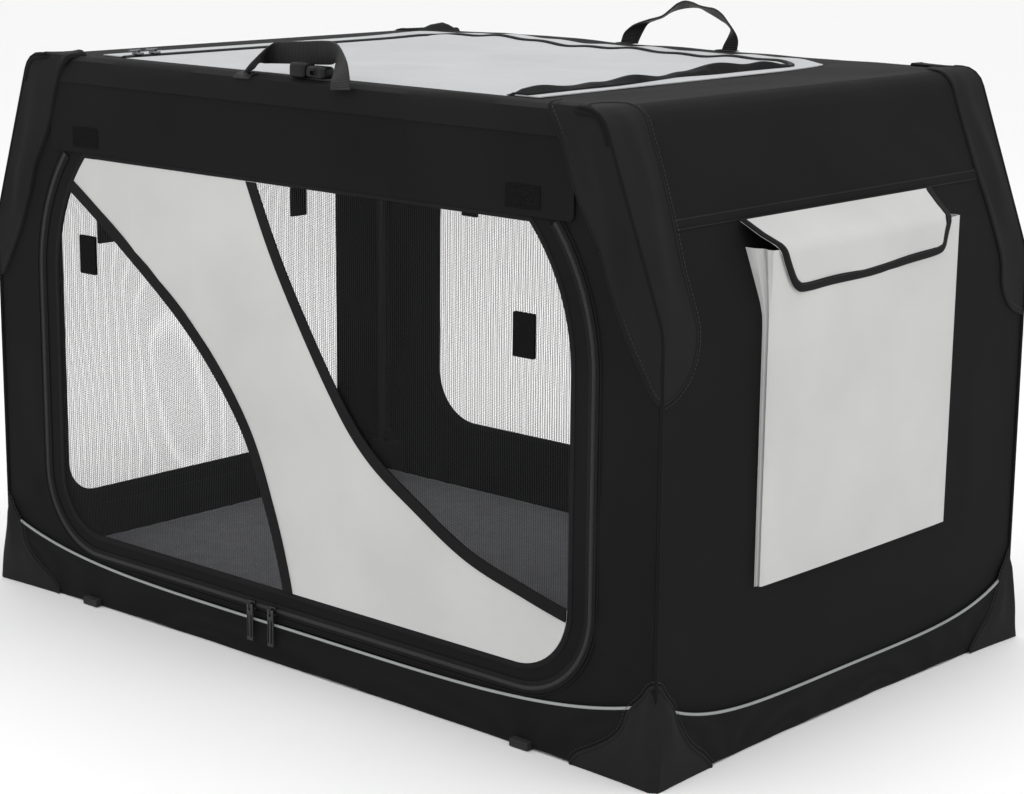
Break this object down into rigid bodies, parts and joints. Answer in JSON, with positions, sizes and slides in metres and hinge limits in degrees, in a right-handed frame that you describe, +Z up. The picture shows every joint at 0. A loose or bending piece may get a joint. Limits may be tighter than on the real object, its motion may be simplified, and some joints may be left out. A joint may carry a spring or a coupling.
{
  "type": "soft folding dog crate",
  "caption": "Soft folding dog crate: black cloth over folding tube frames, net doors with a slanting grey sash, a light roof door, a side pocket and carry handles.",
  "frame": {"origin": "centre of the underside, on the ground sheet's lower face, midway between the end walls and between the long sides", "axes": "+X along the length towards the end with the pocket, -Y out of the front door, +Z up"},
  "size_m": [0.926, 0.6006, 0.6268],
  "materials": {
    "black_cloth": "matt woven polyester",
    "grey_cloth": "light grey woven polyester",
    "roof_cloth": "light grey woven polyester",
    "net": "fine black net",
    "zip": "black zip tape and teeth",
    "piping": "grey reflective piping",
    "mat_cloth": "dark mottled fleece",
    "tube": "plain drawn tube",
    "moulding": "moulded black plastic",
    "board": "stiff black board",
    "webbing": "ribbed black webbing",
    "slider_black": "black coated slider",
    "slider_bright": "bright slider",
    "foot": "matt black"
  },
  "bodies": {
    "base": {"end_wall_left": "black_cloth", "end_wall_right": "black_cloth", "ground_sheet": "black_cloth", "corner_boot_front_left": "black_cloth", "corner_boot_front_right": "black_cloth", "corner_boot_back_left": "black_cloth", "corner_boot_back_right": "black_cloth", "piping": "piping", "mat": "mat_cloth", "base_rail_front": "tube", "base_rail_back": "tube", "base_rail_left": "tube", "base_rail_right": "tube", "spreader_rod_left": "tube", "spreader_rod_right": "tube", "corner_bracket_front_left": "moulding", "corner_bracket_front_right": "moulding", "corner_bracket_back_left": "moulding", "corner_bracket_back_right": "moulding", "floor_board": "board", "foot_front_left": "foot", "foot_front_right": "foot", "foot_back_left": "foot", "foot_back_right": "foot", "left_zip": "zip", "roof_surround": "black_cloth", "roof_zip": "zip", "roof_margin": "roof_cloth", "pocket_body": "grey_cloth", "buckle_socket": "moulding"},
    "front_side": {"front_frame": "tube", "front_wall": "black_cloth", "front_zip": "zip", "front_band": "black_cloth"},
    "back_side": {"back_frame": "tube", "back_wall": "black_cloth", "back_zip": "zip"},
    "front_door": {"front_door_border": "black_cloth", "front_door_net": "net", "front_door_sash": "grey_cloth", "sash_binding_left": "black_cloth", "sash_binding_right": "black_cloth"},
    "back_door": {"back_door_border": "black_cloth", "back_door_net": "net"},
    "left_door": {"left_door_border": "black_cloth", "left_door_net": "net"},
    "roof_door": {"roof_door_panel": "roof_cloth"},
    "flap": {"pocket_flap": "grey_cloth"},
    "handle_front": {"front_handle": "webbing"},
    "handle_back": {"back_handle": "webbing"},
    "plug": {"buckle_plug": "moulding"},
    "slider_left": {"front_slider_left": "slider_black"},
    "slider_right": {"front_slider_right": "slider_black"},
    "pull_left": {"front_pull_left": "moulding"},
    "pull_right": {"front_pull_right": "moulding"},
    "roof_slide_inner": {"roof_slider_inner": "slider_bright"},
    "roof_slide_outer": {"roof_slider_outer": "slider_bright"}
  },
  "joints": [
    {"name": "front_fold", "type": "hinge", "parent": "base", "child": "front_side", "pos_m": [0, -0.2807, 0.042], "axis": [1, 0, 0], "range_deg": [-90, 0]},
    {"name": "back_fold", "type": "hinge", "parent": "base", "child": "back_side", "pos_m": [0, 0.2807, 0.066], "axis": [-1, 0, 0], "range_deg": [-90, 0]},
    {"name": "front_door_hinge", "type": "hinge", "parent": "front_side", "child": "front_door", "pos_m": [0, -0.2935, 0.483], "axis": [-1, 0, 0], "range_deg": [0, 165]},
    {"name": "back_door_hinge", "type": "hinge", "parent": "back_side", "child": "back_door", "pos_m": [0, 0.2935, 0.483], "axis": [1, 0, 0], "range_deg": [0, 165]},
    {"name": "left_door_hinge", "type": "hinge", "parent": "base", "child": "left_door", "pos_m": [-0.4328, 0, 0.46725], "axis": [0, 1, 0], "range_deg": [0, 150]},
    {"name": "roof_door_hinge", "type": "hinge", "parent": "base", "child": "roof_door", "pos_m": [0, -0.257, 0.5815], "axis": [-1, 0, 0], "range_deg": [-85, 0]},
    {"name": "flap_hinge", "type": "hinge", "parent": "base", "child": "flap", "pos_m": [0.42881, 0, 0.4775], "axis": [0, -1, 0], "range_deg": [0, 120]},
    {"name": "front_handle_hinge", "type": "hinge", "parent": "base", "child": "handle_front", "pos_m": [0.008, -0.293, 0.583], "axis": [-1, 0, 0], "range_deg": [-170, 0]},
    {"name": "back_handle_hinge", "type": "hinge", "parent": "base", "child": "handle_back", "pos_m": [0.008, 0.293, 0.583], "axis": [1, 0, 0], "range_deg": [-170, 0]},
    {"name": "buckle_slide", "type": "slide", "parent": "base", "child": "plug", "axis": [-1, 0, 0], "range_m": [0, 0.018]},
    {"name": "slider_left_slide", "type": "slide", "parent": "front_side", "child": "slider_left", "axis": [-1, 0, 0], "range_m": [0, 0.2]},
    {"name": "slider_right_slide", "type": "slide", "parent": "front_side", "child": "slider_right", "axis": [1, 0, 0], "range_m": [0, 0.25]},
    {"name": "pull_left_hinge", "type": "hinge", "parent": "slider_left", "child": "pull_left", "pos_m": [-0.055, -0.2965, 0.05475], "axis": [-1, 0, 0], "range_deg": [0, 120]},
    {"name": "pull_right_hinge", "type": "hinge", "parent": "slider_right", "child": "pull_right", "pos_m": [-0.025, -0.2965, 0.05475], "axis": [-1, 0, 0], "range_deg": [0, 120]},
    {"name": "roof_slider_inner_slide", "type": "slide", "parent": "base", "child": "roof_slide_inner", "axis": [0, 1, 0], "range_m": [0, 0.36]},
    {"name": "roof_slider_outer_slide", "type": "slide", "parent": "base", "child": "roof_slide_outer", "axis": [0, 1, 0], "range_m": [0, 0.011]}
  ]
}
